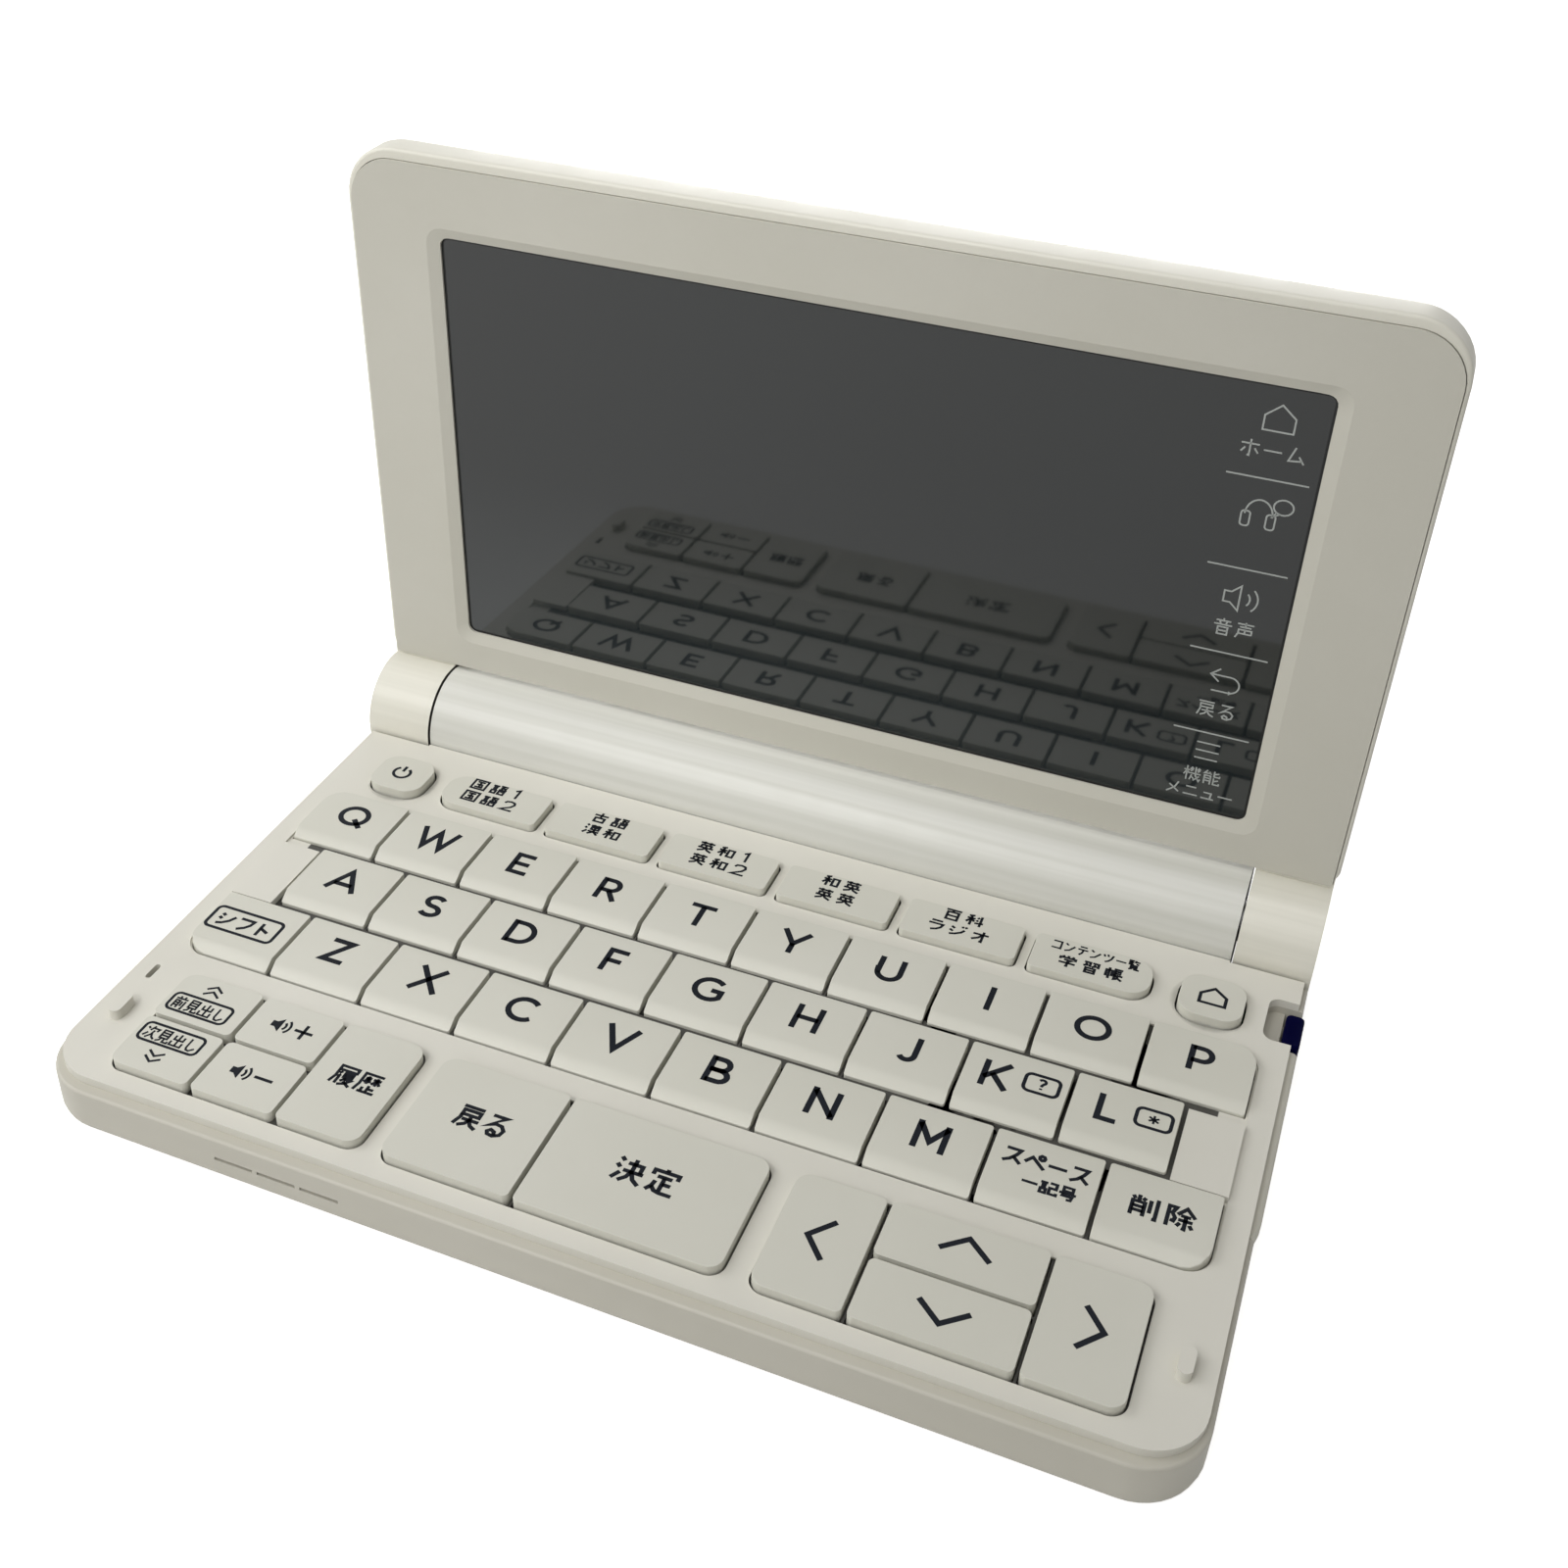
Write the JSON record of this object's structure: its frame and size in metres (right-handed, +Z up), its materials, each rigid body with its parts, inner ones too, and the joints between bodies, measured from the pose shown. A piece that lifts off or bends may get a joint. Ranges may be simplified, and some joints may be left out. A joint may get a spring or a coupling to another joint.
{
  "type": "electronic dictionary",
  "caption": "Open clamshell electronic dictionary: letter keyboard base, hinged touch-display lid, battery barrel in the hinge, and a stylus clipped in the side.",
  "frame": {"origin": "centre of the flat underside of the base", "axes": "+X to the right of the person typing, +Y from the front edge towards the hinge, +Z up from the table"},
  "size_m": [0.148, 0.0996, 0.1005],
  "materials": {
    "case_plastic": "satin moulded off-white plastic",
    "lid_plastic": "satin moulded ivory plastic",
    "bezel_plastic": "fine matt grey-ivory plastic",
    "key_plastic": "satin off-white plastic with dark printed legends",
    "stylus_plastic": "navy end and off-white shaft",
    "display_glass": "dark glossy glass over a display that is off",
    "hinge_steel": "turned steel",
    "circuit_board": "green circuit board",
    "keypad_rubber": "grey silicone rubber",
    "battery_can": "printed metal cell"
  },
  "bodies": {
    "base": {"lower_case": "case_plastic", "upper_case": "case_plastic", "battery_left": "battery_can", "battery_right": "battery_can", "main_board": "circuit_board", "keypad_mat": "keypad_rubber"},
    "lid": {"lid_back_cover": "lid_plastic", "lid_front_bezel": "bezel_plastic", "display_panel": "display_glass", "hinge_unit": "hinge_steel"},
    "battery_cover": {"battery_cover": "case_plastic"},
    "stylus": {"stylus": "stylus_plastic"},
    "key_q": {"key_q": "key_plastic"},
    "key_w": {"key_w": "key_plastic"},
    "key_e": {"key_e": "key_plastic"},
    "key_r": {"key_r": "key_plastic"},
    "key_t": {"key_t": "key_plastic"},
    "key_y": {"key_y": "key_plastic"},
    "key_u": {"key_u": "key_plastic"},
    "key_i": {"key_i": "key_plastic"},
    "key_o": {"key_o": "key_plastic"},
    "key_p": {"key_p": "key_plastic"},
    "key_a": {"key_a": "key_plastic"},
    "key_s": {"key_s": "key_plastic"},
    "key_d": {"key_d": "key_plastic"},
    "key_f": {"key_f": "key_plastic"},
    "key_g": {"key_g": "key_plastic"},
    "key_h": {"key_h": "key_plastic"},
    "key_j": {"key_j": "key_plastic"},
    "key_k": {"key_k": "key_plastic"},
    "key_l": {"key_l": "key_plastic"},
    "key_shift": {"key_shift": "key_plastic"},
    "key_z": {"key_z": "key_plastic"},
    "key_x": {"key_x": "key_plastic"},
    "key_c": {"key_c": "key_plastic"},
    "key_v": {"key_v": "key_plastic"},
    "key_b": {"key_b": "key_plastic"},
    "key_n": {"key_n": "key_plastic"},
    "key_m": {"key_m": "key_plastic"},
    "key_space": {"key_space": "key_plastic"},
    "key_delete": {"key_delete": "key_plastic"},
    "key_topic_1": {"key_topic_1": "key_plastic"},
    "key_topic_2": {"key_topic_2": "key_plastic"},
    "key_topic_3": {"key_topic_3": "key_plastic"},
    "key_topic_4": {"key_topic_4": "key_plastic"},
    "key_topic_5": {"key_topic_5": "key_plastic"},
    "key_topic_6": {"key_topic_6": "key_plastic"},
    "key_power": {"key_power": "key_plastic"},
    "key_home": {"key_home": "key_plastic"},
    "key_previous": {"key_previous": "key_plastic"},
    "key_next": {"key_next": "key_plastic"},
    "key_volume_up": {"key_volume_up": "key_plastic"},
    "key_volume_down": {"key_volume_down": "key_plastic"},
    "key_history": {"key_history": "key_plastic"},
    "key_back": {"key_back": "key_plastic"},
    "key_enter": {"key_enter": "key_plastic"},
    "key_left": {"key_left": "key_plastic"},
    "key_up": {"key_up": "key_plastic"},
    "key_down": {"key_down": "key_plastic"},
    "key_right": {"key_right": "key_plastic"}
  },
  "joints": [
    {"name": "lid_hinge", "type": "hinge", "parent": "base", "child": "lid", "pos_m": [0, 0.04048, 0.00899], "axis": [1, 0, 0], "range_deg": [-52, 88.4]},
    {"name": "cover_slide", "type": "slide", "parent": "base", "child": "battery_cover", "axis": [0, 1, 0], "range_m": [0, 0.025]},
    {"name": "stylus_slide", "type": "slide", "parent": "base", "child": "stylus", "axis": [1, 0, 0], "range_m": [0, 0.012]},
    {"name": "key_q_press", "type": "slide", "parent": "base", "child": "key_q", "axis": [0, 0, -1], "range_m": [0, 0.0008], "stiffness_N_per_m": 700, "springref_m": -0.0005},
    {"name": "key_w_press", "type": "slide", "parent": "base", "child": "key_w", "axis": [0, 0, -1], "range_m": [0, 0.0008], "stiffness_N_per_m": 700, "springref_m": -0.0005},
    {"name": "key_e_press", "type": "slide", "parent": "base", "child": "key_e", "axis": [0, 0, -1], "range_m": [0, 0.0008], "stiffness_N_per_m": 700, "springref_m": -0.0005},
    {"name": "key_r_press", "type": "slide", "parent": "base", "child": "key_r", "axis": [0, 0, -1], "range_m": [0, 0.0008], "stiffness_N_per_m": 700, "springref_m": -0.0005},
    {"name": "key_t_press", "type": "slide", "parent": "base", "child": "key_t", "axis": [0, 0, -1], "range_m": [0, 0.0008], "stiffness_N_per_m": 700, "springref_m": -0.0005},
    {"name": "key_y_press", "type": "slide", "parent": "base", "child": "key_y", "axis": [0, 0, -1], "range_m": [0, 0.0008], "stiffness_N_per_m": 700, "springref_m": -0.0005},
    {"name": "key_u_press", "type": "slide", "parent": "base", "child": "key_u", "axis": [0, 0, -1], "range_m": [0, 0.0008], "stiffness_N_per_m": 700, "springref_m": -0.0005},
    {"name": "key_i_press", "type": "slide", "parent": "base", "child": "key_i", "axis": [0, 0, -1], "range_m": [0, 0.0008], "stiffness_N_per_m": 700, "springref_m": -0.0005},
    {"name": "key_o_press", "type": "slide", "parent": "base", "child": "key_o", "axis": [0, 0, -1], "range_m": [0, 0.0008], "stiffness_N_per_m": 700, "springref_m": -0.0005},
    {"name": "key_p_press", "type": "slide", "parent": "base", "child": "key_p", "axis": [0, 0, -1], "range_m": [0, 0.0008], "stiffness_N_per_m": 700, "springref_m": -0.0005},
    {"name": "key_a_press", "type": "slide", "parent": "base", "child": "key_a", "axis": [0, 0, -1], "range_m": [0, 0.0008], "stiffness_N_per_m": 700, "springref_m": -0.0005},
    {"name": "key_s_press", "type": "slide", "parent": "base", "child": "key_s", "axis": [0, 0, -1], "range_m": [0, 0.0008], "stiffness_N_per_m": 700, "springref_m": -0.0005},
    {"name": "key_d_press", "type": "slide", "parent": "base", "child": "key_d", "axis": [0, 0, -1], "range_m": [0, 0.0008], "stiffness_N_per_m": 700, "springref_m": -0.0005},
    {"name": "key_f_press", "type": "slide", "parent": "base", "child": "key_f", "axis": [0, 0, -1], "range_m": [0, 0.0008], "stiffness_N_per_m": 700, "springref_m": -0.0005},
    {"name": "key_g_press", "type": "slide", "parent": "base", "child": "key_g", "axis": [0, 0, -1], "range_m": [0, 0.0008], "stiffness_N_per_m": 700, "springref_m": -0.0005},
    {"name": "key_h_press", "type": "slide", "parent": "base", "child": "key_h", "axis": [0, 0, -1], "range_m": [0, 0.0008], "stiffness_N_per_m": 700, "springref_m": -0.0005},
    {"name": "key_j_press", "type": "slide", "parent": "base", "child": "key_j", "axis": [0, 0, -1], "range_m": [0, 0.0008], "stiffness_N_per_m": 700, "springref_m": -0.0005},
    {"name": "key_k_press", "type": "slide", "parent": "base", "child": "key_k", "axis": [0, 0, -1], "range_m": [0, 0.0008], "stiffness_N_per_m": 700, "springref_m": -0.0005},
    {"name": "key_l_press", "type": "slide", "parent": "base", "child": "key_l", "axis": [0, 0, -1], "range_m": [0, 0.0008], "stiffness_N_per_m": 700, "springref_m": -0.0005},
    {"name": "key_shift_press", "type": "slide", "parent": "base", "child": "key_shift", "axis": [0, 0, -1], "range_m": [0, 0.0008], "stiffness_N_per_m": 700, "springref_m": -0.0005},
    {"name": "key_z_press", "type": "slide", "parent": "base", "child": "key_z", "axis": [0, 0, -1], "range_m": [0, 0.0008], "stiffness_N_per_m": 700, "springref_m": -0.0005},
    {"name": "key_x_press", "type": "slide", "parent": "base", "child": "key_x", "axis": [0, 0, -1], "range_m": [0, 0.0008], "stiffness_N_per_m": 700, "springref_m": -0.0005},
    {"name": "key_c_press", "type": "slide", "parent": "base", "child": "key_c", "axis": [0, 0, -1], "range_m": [0, 0.0008], "stiffness_N_per_m": 700, "springref_m": -0.0005},
    {"name": "key_v_press", "type": "slide", "parent": "base", "child": "key_v", "axis": [0, 0, -1], "range_m": [0, 0.0008], "stiffness_N_per_m": 700, "springref_m": -0.0005},
    {"name": "key_b_press", "type": "slide", "parent": "base", "child": "key_b", "axis": [0, 0, -1], "range_m": [0, 0.0008], "stiffness_N_per_m": 700, "springref_m": -0.0005},
    {"name": "key_n_press", "type": "slide", "parent": "base", "child": "key_n", "axis": [0, 0, -1], "range_m": [0, 0.0008], "stiffness_N_per_m": 700, "springref_m": -0.0005},
    {"name": "key_m_press", "type": "slide", "parent": "base", "child": "key_m", "axis": [0, 0, -1], "range_m": [0, 0.0008], "stiffness_N_per_m": 700, "springref_m": -0.0005},
    {"name": "key_space_press", "type": "slide", "parent": "base", "child": "key_space", "axis": [0, 0, -1], "range_m": [0, 0.0008], "stiffness_N_per_m": 700, "springref_m": -0.0005},
    {"name": "key_delete_press", "type": "slide", "parent": "base", "child": "key_delete", "axis": [0, 0, -1], "range_m": [0, 0.0008], "stiffness_N_per_m": 700, "springref_m": -0.0005},
    {"name": "key_topic_1_press", "type": "slide", "parent": "base", "child": "key_topic_1", "axis": [0, 0, -1], "range_m": [0, 0.0008], "stiffness_N_per_m": 700, "springref_m": -0.0005},
    {"name": "key_topic_2_press", "type": "slide", "parent": "base", "child": "key_topic_2", "axis": [0, 0, -1], "range_m": [0, 0.0008], "stiffness_N_per_m": 700, "springref_m": -0.0005},
    {"name": "key_topic_3_press", "type": "slide", "parent": "base", "child": "key_topic_3", "axis": [0, 0, -1], "range_m": [0, 0.0008], "stiffness_N_per_m": 700, "springref_m": -0.0005},
    {"name": "key_topic_4_press", "type": "slide", "parent": "base", "child": "key_topic_4", "axis": [0, 0, -1], "range_m": [0, 0.0008], "stiffness_N_per_m": 700, "springref_m": -0.0005},
    {"name": "key_topic_5_press", "type": "slide", "parent": "base", "child": "key_topic_5", "axis": [0, 0, -1], "range_m": [0, 0.0008], "stiffness_N_per_m": 700, "springref_m": -0.0005},
    {"name": "key_topic_6_press", "type": "slide", "parent": "base", "child": "key_topic_6", "axis": [0, 0, -1], "range_m": [0, 0.0008], "stiffness_N_per_m": 700, "springref_m": -0.0005},
    {"name": "key_power_press", "type": "slide", "parent": "base", "child": "key_power", "axis": [0, 0, -1], "range_m": [0, 0.0008], "stiffness_N_per_m": 700, "springref_m": -0.0005},
    {"name": "key_home_press", "type": "slide", "parent": "base", "child": "key_home", "axis": [0, 0, -1], "range_m": [0, 0.0008], "stiffness_N_per_m": 700, "springref_m": -0.0005},
    {"name": "key_previous_press", "type": "slide", "parent": "base", "child": "key_previous", "axis": [0, 0, -1], "range_m": [0, 0.0008], "stiffness_N_per_m": 700, "springref_m": -0.0005},
    {"name": "key_next_press", "type": "slide", "parent": "base", "child": "key_next", "axis": [0, 0, -1], "range_m": [0, 0.0008], "stiffness_N_per_m": 700, "springref_m": -0.0005},
    {"name": "key_volume_up_press", "type": "slide", "parent": "base", "child": "key_volume_up", "axis": [0, 0, -1], "range_m": [0, 0.0008], "stiffness_N_per_m": 700, "springref_m": -0.0005},
    {"name": "key_volume_down_press", "type": "slide", "parent": "base", "child": "key_volume_down", "axis": [0, 0, -1], "range_m": [0, 0.0008], "stiffness_N_per_m": 700, "springref_m": -0.0005},
    {"name": "key_history_press", "type": "slide", "parent": "base", "child": "key_history", "axis": [0, 0, -1], "range_m": [0, 0.0008], "stiffness_N_per_m": 700, "springref_m": -0.0005},
    {"name": "key_back_press", "type": "slide", "parent": "base", "child": "key_back", "axis": [0, 0, -1], "range_m": [0, 0.0008], "stiffness_N_per_m": 700, "springref_m": -0.0005},
    {"name": "key_enter_press", "type": "slide", "parent": "base", "child": "key_enter", "axis": [0, 0, -1], "range_m": [0, 0.0008], "stiffness_N_per_m": 700, "springref_m": -0.0005},
    {"name": "key_left_press", "type": "slide", "parent": "base", "child": "key_left", "axis": [0, 0, -1], "range_m": [0, 0.0008], "stiffness_N_per_m": 700, "springref_m": -0.0005},
    {"name": "key_up_press", "type": "slide", "parent": "base", "child": "key_up", "axis": [0, 0, -1], "range_m": [0, 0.0008], "stiffness_N_per_m": 700, "springref_m": -0.0005},
    {"name": "key_down_press", "type": "slide", "parent": "base", "child": "key_down", "axis": [0, 0, -1], "range_m": [0, 0.0008], "stiffness_N_per_m": 700, "springref_m": -0.0005},
    {"name": "key_right_press", "type": "slide", "parent": "base", "child": "key_right", "axis": [0, 0, -1], "range_m": [0, 0.0008], "stiffness_N_per_m": 700, "springref_m": -0.0005}
  ]
}
